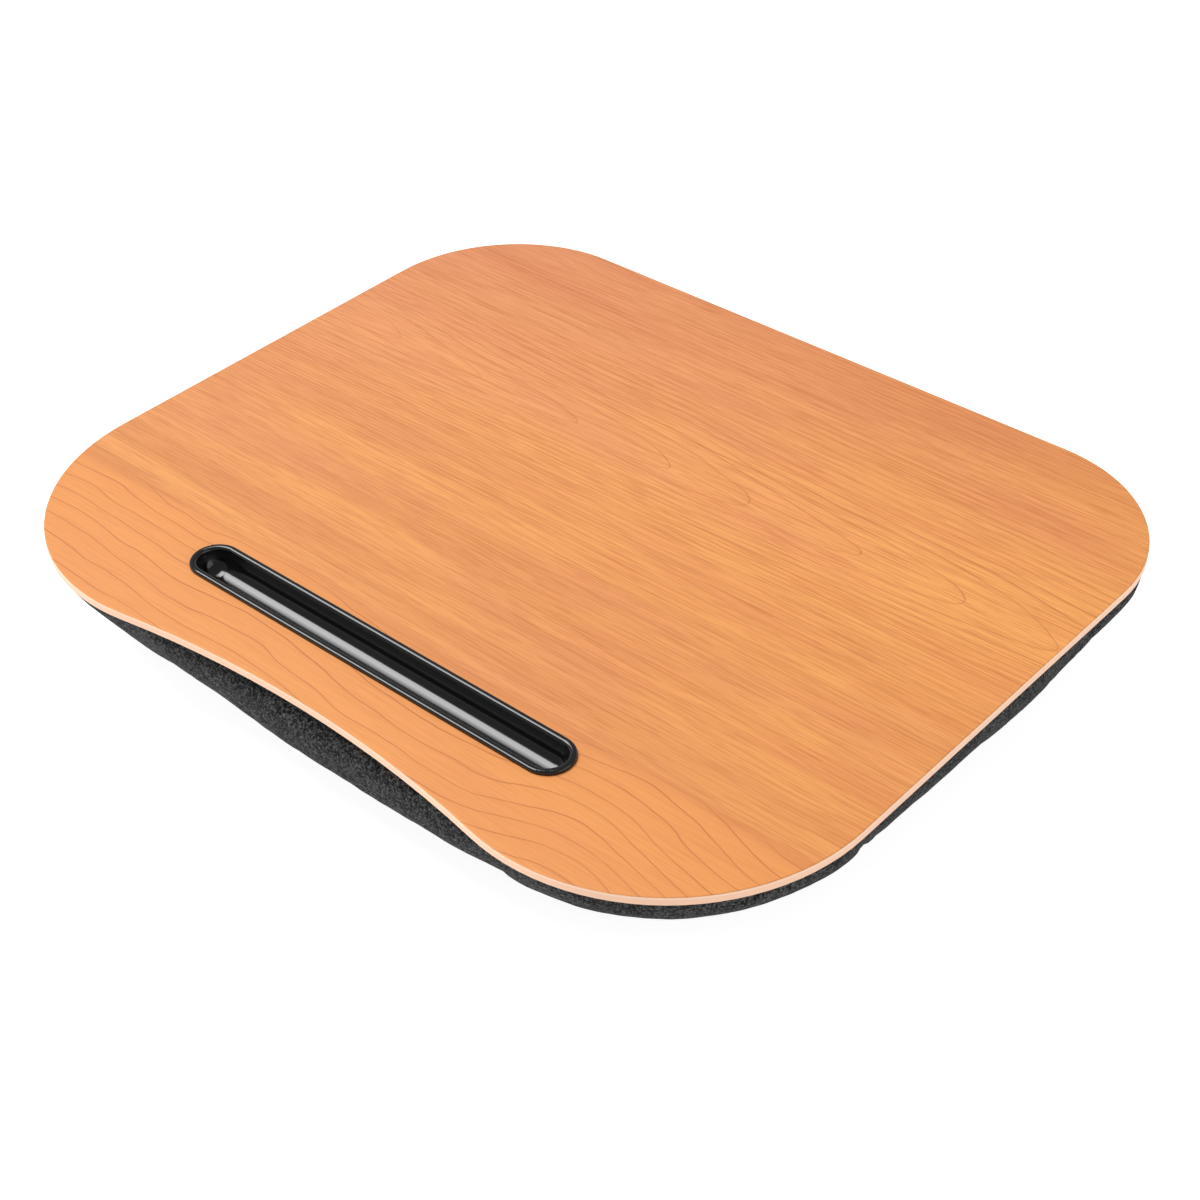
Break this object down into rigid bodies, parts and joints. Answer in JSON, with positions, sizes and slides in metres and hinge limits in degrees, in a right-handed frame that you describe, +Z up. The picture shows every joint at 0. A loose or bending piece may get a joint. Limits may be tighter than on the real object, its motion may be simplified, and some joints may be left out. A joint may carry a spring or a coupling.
{
  "type": "lap desk",
  "caption": "Lap desk: a thin wood-look board with rounded corners and a hollow front edge, a lift-out pen tray let into it, and a fleece cushion filled with beads underneath.",
  "frame": {"origin": "on the surface it stands on, under the middle of the board", "axes": "+X to the user's right along the board's width, +Y away from the user towards the straight back edge, +Z up"},
  "size_m": [0.48, 0.398, 0.062],
  "materials": {
    "fibreboard": "raw medium-density fibreboard",
    "wood_foil": "satin printed cherry-look foil",
    "backing_paper": "matt resin-soaked paper",
    "tray_plastic": "polished black moulded plastic",
    "hot_melt": "waxy hot-melt glue",
    "panel_cloth": "thin black non-woven cloth",
    "fleece": "black short-pile fleece",
    "thread": "black polyester thread",
    "liner_cloth": "thin white non-woven cloth",
    "polystyrene": "expanded polystyrene beads"
  },
  "bodies": {
    "desk": {"board_core": "fibreboard", "wood_foil": "wood_foil", "backing_sheet": "backing_paper", "glue_beads": "hot_melt", "cushion_top_panel": "panel_cloth", "cushion_cover": "fleece", "seam_thread": "thread", "inner_bag": "liner_cloth", "bead_filling": "polystyrene"},
    "tray": {"pen_tray": "tray_plastic"}
  },
  "joints": [
    {"name": "tray_lift", "type": "slide", "parent": "desk", "child": "tray", "axis": [0, 0, 1], "range_m": [0, 0.03]}
  ]
}
